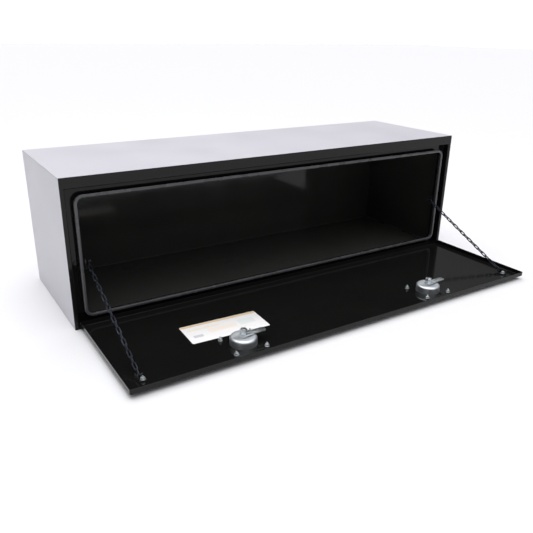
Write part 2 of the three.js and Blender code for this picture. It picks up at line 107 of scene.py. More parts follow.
def circle(radius, z, sides, centre=(0, 0)):
    angles = [2 * math.pi * i / sides for i in range(sides)]
    return [(centre[0] + radius * math.cos(a), centre[1] + radius * math.sin(a), z) for a in angles]


# A solid turned about Z from a profile of (radius, height): its ends are filled, or it closes on itself
def turn(bm, profile, sides, closed=False):
    loft(bm, [circle(radius, height, sides) for radius, height in profile], closed, not closed)


# A rectangle with round corners, as (x, y) points, always with the same number of them
def roundedRectangle(x0, x1, y0, y1, radius, steps=8):
    smallest = 0.05 * mm
    radius = max(radius, smallest)
    points = []
    for cx, cy, start in ((x1 - radius, y1 - radius, 0), (x0 + radius, y1 - radius, 90),
                          (x0 + radius, y0 + radius, 180), (x1 - radius, y0 + radius, 270)):
        for i in range(steps + 1):
            a = math.radians(start + 90 * i / steps)
            points.append((cx + radius * math.cos(a), cy + radius * math.sin(a)))
    return points


def addWeightedNormals(piece):
    modifier = piece.modifiers.new("even shading", "WEIGHTED_NORMAL")
    modifier.keep_sharp = True
    modifier.weight = 60


# A CAD piece with its edges broken, as a deburred or pressed piece has
def refine(name, node, edge, segments=2):
    values = {"merge": 0.01 * mm, "flat": math.radians(1.0), "angle": math.radians(36)}
    bm = bmesh.new()
    bm.from_mesh(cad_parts[node].data)
    bmesh.ops.remove_doubles(bm, verts=bm.verts, dist=values["merge"])
    bmesh.ops.dissolve_limit(bm, angle_limit=values["flat"], verts=bm.verts, edges=bm.edges)
    mesh = bpy.data.meshes.new(name)
    bm.to_mesh(mesh)
    bm.free()
    mesh.shade_smooth()
    piece = meshPiece(name, mesh)
    bevel = piece.modifiers.new("broken edges", "BEVEL")
    bevel.width = edge
    bevel.segments = segments
    bevel.limit_method = "ANGLE"
    bevel.angle_limit = values["angle"]
    bevel.harden_normals = True
    return piece


def settle(piece, body, slot, finish, *nodes):
    if finish is not None:
        piece.data.materials.clear()
        piece.data.materials.append(finish)
    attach(piece, body)
    if nodes:
        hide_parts(*nodes)


# Finishes

def newFinish(name):
    finish = bpy.data.materials.new(name)
    finish.use_nodes = True
    tree = finish.node_tree
    shader = tree.nodes["Principled BSDF"]
    place = addNode(tree, "ShaderNodeTexCoord").outputs["Object"]
    return finish, tree, shader, place


def addNoise(tree, place, grain, detail=2.0, stretch=None):
    if stretch:
        place = addNode(tree, "ShaderNodeMapping", {"Scale": stretch}, {"Vector": place}).outputs["Vector"]
    noise = addNode(tree, "ShaderNodeTexNoise", {"Scale": 1 / grain, "Detail": detail}, {"Vector": place})
    return noise.outputs["Fac"]


def addRange(tree, source, low, high, fromLow=0.3, fromHigh=0.7):
    limits = {"From Min": fromLow, "From Max": fromHigh, "To Min": low, "To Max": high}
    return addNode(tree, "ShaderNodeMapRange", limits, {"Value": source}).outputs["Result"]


def addBlend(tree, factor, hexA, hexB):
    colours = {6: toLinear(hexA), 7: toLinear(hexB)}
    return addNode(tree, "ShaderNodeMix", colours, {0: factor}, data_type="RGBA").outputs[2]


def addRelief(tree, shader, height, depth):
    bump = addNode(tree, "ShaderNodeBump", {"Strength": 1.0, "Distance": depth}, {"Height": height})
    tree.links.new(bump.outputs["Normal"], shader.inputs["Normal"])


# Gloss black powder coat, sprayed and baked: a deep black with a faint orange peel that breaks up reflections
def glossBlackPowderCoat(name, dark, light):
    values = {"peel": 4 * mm, "peelDepth": 0.03 * mm, "cloud": 160 * mm, "gloss": (0.06, 0.13),
              "specular": 0.25}
    finish, tree, shader, place = newFinish(name)
    cloud = addNoise(tree, place, values["cloud"])
    tree.links.new(addBlend(tree, cloud, dark, light), shader.inputs["Base Color"])
    tree.links.new(addRange(tree, cloud, *values["gloss"]), shader.inputs["Roughness"])
    shader.inputs["Specular IOR Level"].default_value = values["specular"]
    addRelief(tree, shader, addNoise(tree, place, values["peel"], detail=1.0), values["peelDepth"])
    return finish


# Powder coat, sprayed and baked, given a light silver-grey: a bright satin skin with a fine peel. The shell
# is most likely gloss black like the door; the silver-grey is painted light, standing in for the bright light
# and reflections on its top and ends
def paintedLightShellCoat():
    values = {"peel": 3 * mm, "peelDepth": 0.03 * mm, "cloud": 220 * mm, "gloss": (0.34, 0.44),
              "specular": 0.3}
    finish, tree, shader, place = newFinish("silver_grey_painted_light_shell_coat")
    cloud = addNoise(tree, place, values["cloud"])
    # painted light: the silver-grey base stands in for the light and reflections on a gloss black shell
    tree.links.new(addBlend(tree, cloud, "#cbcad1", "#d0cfd5"), shader.inputs["Base Color"])
    tree.links.new(addRange(tree, cloud, *values["gloss"]), shader.inputs["Roughness"])
    shader.inputs["Specular IOR Level"].default_value = values["specular"]
    addRelief(tree, shader, addNoise(tree, place, values["peel"], detail=1.0), values["peelDepth"])
    return finish


# Extruded EPDM rubber: a soft sheen, drawn lines along the extrusion and a little bloom. Both greys are far
# lighter than black rubber, a painted highlight that stands in for the bright lines of light along the seal
def extrudedRubber():
    values = {"grain": 1.2 * mm, "grainDepth": 0.05 * mm, "bloomAndSheen": 60 * mm, "gloss": (0.22, 0.34)}
    finish, tree, shader, place = newFinish("extruded_epdm_rubber_painted_sheen")
    bloomAndSheen = addNoise(tree, place, values["bloomAndSheen"], detail=3.0)
    # painted highlight: the lightened greys stand in for the seal's highlight lines; the noise between them
    # is random bloom
    tree.links.new(addBlend(tree, bloomAndSheen, "#3a3a3d", "#58585b"), shader.inputs["Base Color"])
    tree.links.new(addRange(tree, bloomAndSheen, *values["gloss"]), shader.inputs["Roughness"])
    addRelief(tree, shader, addNoise(tree, place, values["grain"], detail=3.0), values["grainDepth"])
    return finish


# Zinc-plated and clear-passivated steel: bright, faintly blue and straw in patches, softly mottled
def zincPlate(name, dark, light, gloss):
    values = {"patch": 9 * mm, "fleck": 0.9 * mm, "fleckDepth": 0.02 * mm}
    finish, tree, shader, place = newFinish(name)
    patch = addNoise(tree, place, values["patch"], detail=3.0)
    tree.links.new(addBlend(tree, addRange(tree, patch, 0, 1), dark, light), shader.inputs["Base Color"])
    tree.links.new(addRange(tree, patch, *gloss), shader.inputs["Roughness"])
    shader.inputs["Metallic"].default_value = 1.0
    addRelief(tree, shader, addNoise(tree, place, values["fleck"], detail=2.0), values["fleckDepth"])
    return finish


# Stainless sheet, deep drawn: bright, with the draw lines running round the cup's wall
def drawnStainless():
    values = {"line": 1.1 * mm, "lineDepth": 0.02 * mm, "lineStretch": (0.06, 0.06, 1.0), "patch": 24 * mm,
              "gloss": (0.42, 0.55)}
    finish, tree, shader, place = newFinish("deep_drawn_stainless")
    patch = addNoise(tree, place, values["patch"], detail=2.0)
    tree.links.new(addBlend(tree, patch, "#cdd4da", "#eceff1"), shader.inputs["Base Color"])
    tree.links.new(addRange(tree, patch, *values["gloss"]), shader.inputs["Roughness"])
    shader.inputs["Metallic"].default_value = 1.0
    lines = addNoise(tree, place, values["line"], detail=2.0, stretch=values["lineStretch"])
    addRelief(tree, shader, lines, values["lineDepth"])
    return finish


# Zinc die casting, polished and chrome plated: mirror bright with a slight ripple from the casting
def platedCasting():
    values = {"ripple": 7 * mm, "rippleDepth": 0.03 * mm, "gloss": (0.18, 0.3)}
    finish, tree, shader, place = newFinish("chrome_plated_zinc_casting")
    ripple = addNoise(tree, place, values["ripple"], detail=2.0)
    tree.links.new(addBlend(tree, ripple, "#cdd0d3", "#e6e8ea"), shader.inputs["Base Color"])
    tree.links.new(addRange(tree, ripple, *values["gloss"]), shader.inputs["Roughness"])
    shader.inputs["Metallic"].default_value = 1.0
    addRelief(tree, shader, ripple, values["rippleDepth"])
    return finish


# Black e-coat over rolled steel: thin, satin, a shade lighter where the knuckles rub
def blackenedSteel():
    values = {"rub": 14 * mm, "grain": 0.8 * mm, "grainDepth": 0.02 * mm, "gloss": (0.28, 0.42)}
    finish, tree, shader, place = newFinish("black_coated_hinge_steel")
    rub = addNoise(tree, place, values["rub"], detail=3.0)
    tree.links.new(addBlend(tree, rub, "#0b0b0c", "#1d1d1f"), shader.inputs["Base Color"])
    tree.links.new(addRange(tree, rub, *values["gloss"]), shader.inputs["Roughness"])
    addRelief(tree, shader, addNoise(tree, place, values["grain"], detail=2.0), values["grainDepth"])
    return finish


# White vinyl, screen printed: a satin film with a band and plain blocks of ink and no lettering
# Each block is its middle along and across the label, its half sizes in millimetres and its ink
def printedVinyl():
    values = {"cloud": 30 * mm, "grain": 0.7 * mm, "grainDepth": 0.01 * mm, "gloss": 0.38,
              "inkEdge": 0.4 * mm,
              "blocks": ((0, 47, 124, 5, "#ecd0a4"), (-8, -2, 46, 11, "#f8eee2"),
                         (-92, -18, 15, 7, "#cfd0d6"), (74, 6, 26, 16, "#e9eeec"),
                         (-60, 22, 50, 5, "#f5eddd"))}
    finish, tree, shader, place = newFinish("printed_vinyl_film")
    middle = middleOf("door_label")
    moved = addNode(tree, "ShaderNodeVectorMath", {1: (-middle.x, -middle.y, 0)}, {0: place}, operation="ADD")
    turned = addNode(tree, "ShaderNodeVectorRotate", {"Angle": -labelTurn}, {"Vector": moved.outputs[0]},
                     rotation_type="Z_AXIS")
    parts = addNode(tree, "ShaderNodeSeparateXYZ", None, {0: turned.outputs[0]}).outputs
    colour = addBlend(tree, addNoise(tree, place, values["cloud"]), "#f3f1ee", "#fbfafa")
    blur = values["inkEdge"]
    for x, y, halfX, halfY, ink in values["blocks"]:
        masks = []
        for source, centre, half in ((parts[0], x * mm, halfX * mm), (parts[1], y * mm, halfY * mm)):
            offset = addNode(tree, "ShaderNodeMath", {1: centre}, {0: source}, operation="SUBTRACT")
            size = addNode(tree, "ShaderNodeMath", None, {0: offset.outputs[0]}, operation="ABSOLUTE")
            masks.append(addRange(tree, size.outputs[0], 0, 1, half + blur, half - blur))
        mask = addNode(tree, "ShaderNodeMath", None, {0: masks[0], 1: masks[1]}, operation="MULTIPLY")
        inked = addNode(tree, "ShaderNodeMix", {7: toLinear(ink)}, {0: mask.outputs[0], 6: colour},
                        data_type="RGBA")
        colour = inked.outputs[2]
    tree.links.new(colour, shader.inputs["Base Color"])
    shader.inputs["Roughness"].default_value = values["gloss"]
    addRelief(tree, shader, addNoise(tree, place, values["grain"], detail=1.0), values["grainDepth"])
    return finish


# Matt studio paper: almost white, with a trace of fibre
def studioPaper():
    values = {"fibre": 8 * mm, "gloss": 0.9, "specular": 0.1}
    finish, tree, shader, place = newFinish("studio_paper")
    fibre = addNoise(tree, place, values["fibre"], detail=3.0)
    tree.links.new(addBlend(tree, fibre, "#e8e8ea", "#ebebec"), shader.inputs["Base Color"])
    shader.inputs["Roughness"].default_value = values["gloss"]
    shader.inputs["Specular IOR Level"].default_value = values["specular"]
    return finish


black = glossBlackPowderCoat("gloss_black_powder_coat", "#101110", "#161615")
# The inside of the shell takes the same black powder coat, lightened well past the outside's black to stand
# in for the light that falls into the box: painted light
paintedLightInside = glossBlackPowderCoat("black_powder_coat_inside_painted_light", "#363735", "#41413e")
shellPaintedLightGrey = paintedLightShellCoat()
rubber = extrudedRubber()
zinc = zincPlate("zinc_plated_steel", "#bcc5cd", "#e3e6e4", (0.3, 0.44))
chainZinc = zincPlate("dull_zinc_chain_steel", "#23252b", "#42454e", (0.36, 0.5))
stainless = drawnStainless()
chrome = platedCasting()
hingeSteel = blackenedSteel()
vinyl = printedVinyl()
print("tool box: finishes made")


# Repeats: one tree that sets a pattern piece on rows of points, every second one turned another way
def repeatTree():
    tree = bpy.data.node_groups.new("repeat_on_rows", "GeometryNodeTree")
    tree.is_modifier = True
    sockets = (("Pattern", "NodeSocketObject"), ("Count", "NodeSocketInt"), ("Rows", "NodeSocketInt"),
               ("Start", "NodeSocketVector"), ("Step", "NodeSocketVector"), ("Row Step", "NodeSocketVector"),
               ("First Turn", "NodeSocketVector"), ("Second Turn", "NodeSocketVector"),
               ("Finish", "NodeSocketMaterial"))
    for label, kind in sockets:
        tree.interface.new_socket(label, in_out="INPUT", socket_type=kind)
    tree.interface.new_socket("Geometry", in_out="OUTPUT", socket_type="NodeSocketGeometry")
    given = addNode(tree, "NodeGroupInput").outputs
    row = addNode(tree, "GeometryNodeMeshLine", None, {"Count": given["Count"], "Offset": given["Step"]})
    column = addNode(tree, "GeometryNodeMeshLine", None,
                     {"Count": given["Rows"], "Offset": given["Row Step"], "Start Location": given["Start"]})
    rows = addNode(tree, "GeometryNodeInstanceOnPoints", None,
                   {"Points": column.outputs[0], "Instance": row.outputs[0]})
    points = addNode(tree, "GeometryNodeRealizeInstances", None, {0: rows.outputs[0]})
    index = addNode(tree, "GeometryNodeInputIndex")
    odd = addNode(tree, "ShaderNodeMath", {1: 2.0}, {0: index.outputs[0]}, operation="MODULO")
    facing = addNode(tree, "ShaderNodeMix", None,
                     {0: odd.outputs[0], 4: given["First Turn"], 5: given["Second Turn"]}, data_type="VECTOR")
    rotation = addNode(tree, "FunctionNodeEulerToRotation", None, {0: facing.outputs[1]})
    pattern = addNode(tree, "GeometryNodeObjectInfo", None, {"Object": given["Pattern"]})
    placed = addNode(tree, "GeometryNodeInstanceOnPoints", None,
                     {"Points": points.outputs[0], "Instance": pattern.outputs["Geometry"],
                      "Rotation": rotation.outputs[0]})
    solid = addNode(tree, "GeometryNodeRealizeInstances", None, {0: placed.outputs[0]})
    painted = addNode(tree, "GeometryNodeSetMaterial", None,
                      {"Geometry": solid.outputs[0], "Material": given["Finish"]})
    addNode(tree, "NodeGroupOutput", None, {0: painted.outputs[0]})
    return tree


rowsTree = repeatTree()


def repeat(name, patternMesh, finish, start, step, count, rowStep=(0, 0, 0), rows=1, firstTurn=(0, 0, 0),
           secondTurn=None):
    pattern = meshPiece(name + "_pattern", patternMesh)
    piece = meshPiece(name, bpy.data.meshes.new(name))
    modifier = piece.modifiers.new("repeat", "NODES")
    modifier.node_group = rowsTree
    values = {"Pattern": pattern, "Count": count, "Rows": rows, "Start": start, "Step": step,
              "Row Step": rowStep, "First Turn": firstTurn, "Second Turn": secondTurn or firstTurn,
              "Finish": finish}
    for item in rowsTree.interface.items_tree:
        if item.in_out == "INPUT":
            modifier[item.identifier] = values[item.name]
    bpy.context.view_layer.update()
    grown = piece.evaluated_get(bpy.context.evaluated_depsgraph_get())
    mesh = bpy.data.meshes.new_from_object(grown)
    piece.modifiers.clear()
    piece.data = mesh
    bpy.data.objects.remove(pattern)
    return piece


# Adds the faces of the other pieces to one piece and drops the others
def weldTogether(target, *others):
    bm = bmesh.new()
    bm.from_mesh(target.data)
    for other in others:
        bm.from_mesh(other.data)
        bpy.data.objects.remove(other)
    bm.to_mesh(target.data)
    bm.free()


# Camera, floor and light

def addCamera():
    values = {"place": (-1.12203, -1.83959, 0.83674), "azimuth": -32.48, "elevation": 21.84, "roll": -0.97,
              "lens": 40.03, "farthest": 200}
    azimuth, elevation, roll = (math.radians(values[k]) for k in ("azimuth", "elevation", "roll"))
    back = Vector((math.sin(azimuth) * math.cos(elevation), -math.cos(azimuth) * math.cos(elevation),
                   math.sin(elevation)))
    right = Vector((math.cos(azimuth), math.sin(azimuth), 0))
    up = back.cross(right)
    rolledRight = right * math.cos(roll) - up * math.sin(roll)
    rolledUp = right * math.sin(roll) + up * math.cos(roll)
    camera = bpy.data.objects.new("studio_camera", bpy.data.cameras.new("studio_camera"))
    camera.matrix_world = Matrix.Translation(values["place"]) @ Matrix(
        (rolledRight, rolledUp, back)).transposed().to_4x4()
    camera.data.lens = values["lens"]
    camera.data.clip_end = values["farthest"]
    bpy.context.scene.collection.objects.link(camera)
    bpy.context.scene.camera = camera


def addFloor():
    values = {"halfSize": 30.0, "squares": 24, "drop": 0.5 * mm}
    squares = values["squares"]
    bm = bmesh.new()
    bmesh.ops.create_grid(bm, x_segments=squares, y_segments=squares, size=values["halfSize"])
    bmesh.ops.translate(bm, verts=bm.verts, vec=(0, 0, -values["drop"]))
    mesh = bpy.data.meshes.new("studio_floor")
    bm.to_mesh(mesh)
    bm.free()
    floor = meshPiece("studio_floor", mesh)
    mesh.materials.append(studioPaper())


# The sky lights the tool box, darker at the horizon and to either side; the camera sees plain white instead
def addSky():
    values = {"horizon": 0.12, "zenith": 3.45, "flank": 0.11, "colour": "#fdfdff", "backdrop": 1.05}
    world = bpy.data.worlds.new("studio_sky")
    world.use_nodes = True
    tree = world.node_tree
    soft = tree.nodes["Background"]
    soft.inputs["Color"].default_value = toLinear(values["colour"])
    direction = addNode(tree, "ShaderNodeTexCoord").outputs["Generated"]
    parts = addNode(tree, "ShaderNodeSeparateXYZ", None, {0: direction}).outputs
    height = addNode(tree, "ShaderNodeMath", {1: 0.0}, {0: parts["Z"]}, operation="MAXIMUM").outputs[0]
    steep = addNode(tree, "ShaderNodeMath", {1: 2.0}, {0: height}, operation="POWER").outputs[0]
    sideways = addNode(tree, "ShaderNodeMath", None, {0: parts["X"]}, operation="ABSOLUTE").outputs[0]
    strength = addNode(tree, "ShaderNodeMath", None,
                       {0: addRange(tree, steep, values["horizon"], values["zenith"], 0, 1),
                        1: addRange(tree, sideways, 1, values["flank"], 0, 1)}, operation="MULTIPLY")
    tree.links.new(strength.outputs[0], soft.inputs["Strength"])
    seen = addNode(tree, "ShaderNodeBackground", {"Color": (1, 1, 1, 1), "Strength": values["backdrop"]})
    path = addNode(tree, "ShaderNodeLightPath")
    both = addNode(tree, "ShaderNodeMixShader", None,
                   {0: path.outputs["Is Camera Ray"], 1: soft.outputs[0], 2: seen.outputs[0]})
    tree.links.new(both.outputs[0], tree.nodes["World Output"].inputs["Surface"])
    bpy.context.scene.world = world
    bpy.context.scene.view_settings.view_transform = "Standard"


def addLamp():
    values = {"place": (-0.9, 0.3, 3.2), "size": 3.0, "power": 12.0}
    lamp = bpy.data.objects.new("overhead", bpy.data.lights.new("overhead", "AREA"))
    lamp.data.size = values["size"]
    lamp.data.energy = values["power"]
    lamp.location = values["place"]
    lamp.rotation_euler = (-lamp.location).to_track_quat("-Z", "Y").to_euler()
    bpy.context.scene.collection.objects.link(lamp)


addCamera()
addFloor()
addSky()
addLamp()
print("tool box: studio set")


# Shell: one sheet folded round the top, back and bottom, and two ends welded in

def addShell():
    values = {"sheet": 2 * mm, "bend": 5 * mm, "bendSteps": 6, "rolledEdge": 0.4 * mm, "rolledAngle": 40,
              "facesInside": 0.3, "facesEnd": 0.5, "seam": 0.3 * mm, "endEdge": 0.5 * mm}
    topLow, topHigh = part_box("top_panel")
    front, back, top, bottom = topLow.y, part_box("back_panel")[1].y, topHigh.z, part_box("bottom_panel")[0].z
    sheet, bend = values["sheet"], values["bend"]

    def section(offset, radius):
        points = [(front, top - offset)]
        for cz, start in ((top - bend, 90), (bottom + bend, 0)):
            for i in range(values["bendSteps"] + 1):
                a = math.radians(start - 90 * i / values["bendSteps"])
                points.append((back - bend + radius * math.cos(a), cz + radius * math.sin(a)))
        return points + [(front, bottom + offset)]

    outer, inner = section(0, bend), section(sheet, bend - sheet)
    ring = outer + inner[::-1]
    x0, x1 = topLow.x, topHigh.x
    bm = bmesh.new()
    ends = loft(bm, [[(x, y, z) for y, z in ring] for x in (x0, x1)], closed=False)
    for end in ends:
        for i in range(len(outer) - 1):
            bm.faces.new((end[i], end[i + 1], end[-2 - i], end[-1 - i]))
    mesh = closeMesh("shell_wrap", bm)
    mesh.materials.append(shellPaintedLightGrey)
    mesh.materials.append(paintedLightInside)
    centre = Vector((0, (front + back) / 2, (top + bottom) / 2))
    # The faces that look into the box take the lightened inside coat, painted light
    for face in mesh.polygons:
        inward = (centre - face.center) * Vector((0, 1, 1))
        isSheetFace = abs(face.normal.x) < values["facesEnd"]
        if isSheetFace and face.normal.dot(inward) > values["facesInside"] * inward.length:
            face.material_index = 1
    wrap = meshPiece("shell_wrap", mesh)
    rolled = wrap.modifiers.new("rolled edges", "BEVEL")
    rolled.width = values["rolledEdge"]
    rolled.segments = 2
    rolled.angle_limit = math.radians(values["rolledAngle"])
    rolled.harden_normals = True
    addWeightedNormals(wrap)
    settle(wrap, "box", "shell_paint", None, "top_panel", "back_panel", "bottom_panel")

    def endOutline(inset, x):
        past = sheet + values["seam"]
        points = roundedRectangle(front + inset, back - past - inset, bottom + past + inset,
                                  top - past - inset, bend - past, values["bendSteps"])
        return [(x, y, z) for y, z in points]

    edge = values["endEdge"]
    for side in ("left", "right"):
        low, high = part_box(side + "_end_panel")
        loops = [endOutline(edge, low.x), endOutline(0, low.x + edge), endOutline(0, high.x - edge),
                 endOutline(edge, high.x)]
        bm = bmesh.new()
        loft(bm, loops, closed=False, capped=True)
        mesh = closeMesh(side + "_end", bm, sharpAngle=50)
        mesh.materials.append(shellPaintedLightGrey)
        mesh.materials.append(paintedLightInside)
        for face in mesh.polygons:
            outward = face.normal.x * math.copysign(1, low.x)
            face.material_index = int(outward < -values["facesInside"])
        end = meshPiece(side + "_shell_end", mesh)
        addWeightedNormals(end)
        settle(end, "box", "shell_paint", None, side + "_end_panel")


# Weld runs along the inside corners of the ends: short stitches, painted over
def addWelds():
    values = {"length": 28 * mm, "height": 3.2 * mm, "pitch": 145 * mm, "fromFront": 50 * mm, "count": 3,
              "ripples": 9, "rippleShare": 0.1, "ringsEach": 4, "sides": 10, "tip": 0.02}
    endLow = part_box("right_end_panel")[0]
    inside, floor, ceiling = endLow.x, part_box("bottom_panel")[1].z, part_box("top_panel")[0].z
    count = values["ripples"] * values["ringsEach"]
    loops = []
    for i in range(count + 1):
        along = 2 * i / count - 1
        taper = math.sqrt(max(values["tip"], 1 - along ** 4))
        ripple = 1 + values["rippleShare"] * math.cos(2 * math.pi * i / values["ringsEach"])
        ring = circle(values["height"] / 2 * taper * ripple, along * values["length"] / 2, values["sides"])
        loops.append([(x, y, z) for x, z, y in ring])
    bm = bmesh.new()
    loft(bm, loops, closed=False, capped=True)
    stitch = closeMesh("weld_stitch", bm, sharpAngle=60)
    start = endLow.y + values["fromFront"]
    runs = []
    for side in (-1, 1):
        for k, z in enumerate((floor, ceiling)):
            runs.append(repeat(f"weld_run_{side + 1}_{k}", stitch, black, (side * inside, start, z),
                               (0, values["pitch"], 0), values["count"]))
    weldTogether(runs[0], *runs[1:])
    runs[0].name = "end_weld_stitches"
    settle(runs[0], "box", "black_paint", black)


addShell()
addWelds()
print("tool box: shell made")


# Front frame: one strip of sheet folded into a face, a gutter and a seal lip, run round the mouth

frameValues = {"topStrip": 33 * mm, "sideStrip": 13 * mm, "bottomStrip": 4.3 * mm, "stripRadius": 0.5 * mm,
               "sheet": 2 * mm, "lipSetback": 8 * mm, "lipRadius": 22 * mm, "bulbHalf": 5 * mm,
               "foldRadius": 3 * mm, "tightFold": 1 * mm, "edgeRadius": 0.7 * mm,
               "foldSteps": 5, "tightSteps": 3, "edgeSteps": 2, "cornerSteps": 9}


# How far the seal lip's middle stands in from the shell's top, sides and bottom
def mouthInsets():
    low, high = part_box("door_seal")
    half = frameValues["bulbHalf"]
    shellLow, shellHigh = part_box("front_frame_left")
    return (shellHigh.z - high.z + half, low.x - shellLow.x + half, low.z - shellLow.z + half)


# The loop of the mouth at one inset and depth, seen from the front
def mouthLoop(insets, by, depth, radius):
    low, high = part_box("front_frame_left")
    halfLength = -low.x
    top, side, bottom = (inset + by for inset in insets)
    points = roundedRectangle(-halfLength + side, halfLength - side, low.z + bottom, high.z - top, radius,
                              frameValues["cornerSteps"])
    return [(x, low.y + depth, z) for x, z in points]


# A quarter bend in the section: points of (inset, depth) that arrive in one direction and leave in another
def foldPoints(by, depth, arrive, leave, radius, steps):
    points = []
    for i in range(steps + 1):
        a = math.radians(90 * i / steps)
        forward, turned = math.sin(a) - 1, 1 - math.cos(a)
        points.append((by + radius * (arrive[0] * forward + leave[0] * turned),
                       depth + radius * (arrive[1] * forward + leave[1] * turned)))
    return points


def addFrontFrame():
    v = frameValues
    low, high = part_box("front_frame_left")
    floorBack = high.y - low.y
    floorFront = floorBack - v["sheet"]
    sheet, tight, wide, edge = v["sheet"], v["tightFold"], v["foldRadius"], v["edgeRadius"]
    wideSteps, tightSteps, edgeSteps = v["foldSteps"], v["tightSteps"], v["edgeSteps"]
    stripR, lipR, setback = v["stripRadius"], v["lipRadius"], v["lipSetback"]
    shell = (0, 0, 0)
    strips = (v["topStrip"], v["sideStrip"], v["bottomStrip"])
    lips = mouthInsets()
    inward, outward, deeper, nearer = (1, 0), (-1, 0), (0, 1), (0, -1)
    section = (
        (shell, edge, foldPoints(0, 0, nearer, inward, edge, edgeSteps)),
        (strips, stripR, foldPoints(0, 0, inward, deeper, wide, wideSteps)),
        (strips, stripR, foldPoints(0, floorFront, deeper, inward, tight, tightSteps)),
        (lips, lipR, foldPoints(-sheet / 2, floorFront, inward, nearer, tight, tightSteps)),
        (lips, lipR, foldPoints(-sheet / 2, setback, nearer, inward, edge, tightSteps)),
        (lips, lipR, foldPoints(sheet / 2, setback, inward, deeper, edge, tightSteps)),
        (lips, lipR, foldPoints(sheet / 2, floorBack, deeper, outward, wide, wideSteps)),
        (strips, stripR, foldPoints(-sheet, floorBack, outward, nearer, tight, tightSteps)),
        (strips, stripR, foldPoints(-sheet, sheet, nearer, outward, tight / 2, edgeSteps)),
        (shell, edge, foldPoints(0, sheet, outward, nearer, edge, edgeSteps)),
    )
    loops = []
    for insets, radius, points in section:
        for by, depth in points:
            cornerRadius = radius - by if insets is lips else radius
            loops.append(mouthLoop(insets, by, depth, cornerRadius))
    bm = bmesh.new()
    loft(bm, loops)
    piece = meshPiece("front_frame", closeMesh("front_frame", bm, sharpAngle=40))
    addWeightedNormals(piece)
    settle(piece, "box", "black_paint", black, "front_frame_top", "front_frame_bottom", "front_frame_left",
           "front_frame_right")


# Bulb seal: a round bulb in front of the lip, on two legs that straddle it
def addSeal():
    values = {"steps": 20, "nearLip": 0.3 * mm, "legInside": 1.3 * mm, "leg": 1.9 * mm, "intoBulb": 0.6 * mm,
              "toe": 1 * mm, "toeOutside": 0.8 * mm, "toeInside": 0.3 * mm}
    low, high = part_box("door_seal")
    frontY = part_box("front_frame_left")[0].y
    lips = mouthInsets()
    lipR = frameValues["lipRadius"]
    nearFace = low.y - frontY
    lipDepth = frameValues["lipSetback"] - values["nearLip"]
    centreDepth = (nearFace + lipDepth) / 2
    deepHalf = (lipDepth - nearFace) / 2
    bm = bmesh.new()
    loops = []
    for k in range(values["steps"]):
        a = 2 * math.pi * k / values["steps"]
        by, depth = frameValues["bulbHalf"] * math.cos(a), centreDepth + deepHalf * math.sin(a)
        loops.append(mouthLoop(lips, by, depth, lipR - by))
    loft(bm, loops)
    inner, outer = values["legInside"], values["legInside"] + values["leg"]
    legStart, legEnd = lipDepth - values["intoBulb"], high.y - frontY
    toeStart = legEnd - values["toe"]
    corners = ((inner, legStart), (outer, legStart), (outer, toeStart),
               (outer - values["toeOutside"], legEnd), (inner + values["toeInside"], legEnd),
               (inner, toeStart))
    for side in (-1, 1):
        loft(bm, [mouthLoop(lips, side * by, depth, lipR - side * by) for by, depth in corners])
    piece = meshPiece("bulb_seal", closeMesh("bulb_seal", bm, sharpAngle=50))
    settle(piece, "box", "seal_rubber", rubber, "door_seal")


addFrontFrame()
addSeal()
print("tool box: front frame and seal made")


# Door: a pan of sheet with a lip folded up on each side

def addDoor():
    values = {"sheet": 2 * mm, "bend": 3 * mm, "bendSteps": 5, "bendCorner": 3.5 * mm, "cornerLoss": 0.3,
              "corner": 2.5 * mm, "innerCorner": 1.5 * mm, "edge": 0.6 * mm, "edgeShare": 0.3,
              "latchHole": 39.8 * mm, "latchHoleSides": 48, "boltHole": 3.4 * mm, "boltHoleSides": 16}
    low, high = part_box("door_skin")[0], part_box("door_lips")[1]
    sheet, bend, edge = values["sheet"], values["bend"], values["edge"]
    corner, innerCorner = values["corner"], values["innerCorner"]
    eased = edge * values["edgeShare"]
    angles = [math.radians(90 * i / values["bendSteps"]) for i in range(values["bendSteps"] + 1)]

    def outline(inset, z, radius):
        points = roundedRectangle(low.x + inset, high.x - inset, low.y + inset, high.y - inset, radius,
                                  values["bendSteps"])
        return [(x, y, z) for x, y in points]

    loops = []
    for a in angles:
        inset = bend * (1 - math.sin(a))
        radius = values["bendCorner"] - inset * values["cornerLoss"]
        loops.append(outline(inset, low.z + bend * (1 - math.cos(a)), radius))
    loops.append(outline(0, high.z - edge, corner))
    loops.append(outline(eased, high.z - eased, corner))
    loops.append(outline(edge, high.z, corner))
    loops.append(outline(sheet - edge, high.z, innerCorner))
    loops.append(outline(sheet - eased, high.z - eased, innerCorner))
    loops.append(outline(sheet, high.z - edge, innerCorner))
    innerBend = bend - sheet
    for a in angles:
        inset = sheet + innerBend * (1 - math.cos(a))
        loops.append(outline(inset, low.z + sheet + innerBend * (1 - math.sin(a)), innerCorner))
    bm = bmesh.new()
    rings = loft(bm, loops, closed=False)
    holes = []
    for side in ("left", "right"):
        holes.append((middleOf(side + "_latch_cup"), values["latchHole"], values["latchHoleSides"]))
        for node in ("door_bracket_bolt", "latch_bolt_1", "latch_bolt_2", "latch_bolt_3", "latch_bolt_4"):
            holes.append((middleOf(f"{side}_{node}"), values["boltHole"], values["boltHoleSides"]))
    for ring, z in ((rings[0], low.z), (rings[-1], low.z + sheet)):
        edges = [bm.edges.get((ring[i], ring[i - 1])) for i in range(len(ring))]
        for centre, radius, sides in holes:
            rim = [bm.verts.new(point) for point in circle(radius, z, sides, centre)]
            edges += [bm.edges.new((rim[i], rim[i - 1])) for i in range(sides)]
        bmesh.ops.triangle_fill(bm, edges=edges, use_beauty=True)
    for centre, radius, sides in holes:
        loft(bm, [circle(radius, z, sides, centre) for z in (low.z, low.z + sheet)], closed=False)
    piece = meshPiece("folded_door", closeMesh("folded_door", bm, sharpAngle=40))
    addWeightedNormals(piece)
    settle(piece, "door", "black_paint", black, "door_skin", "door_lips")


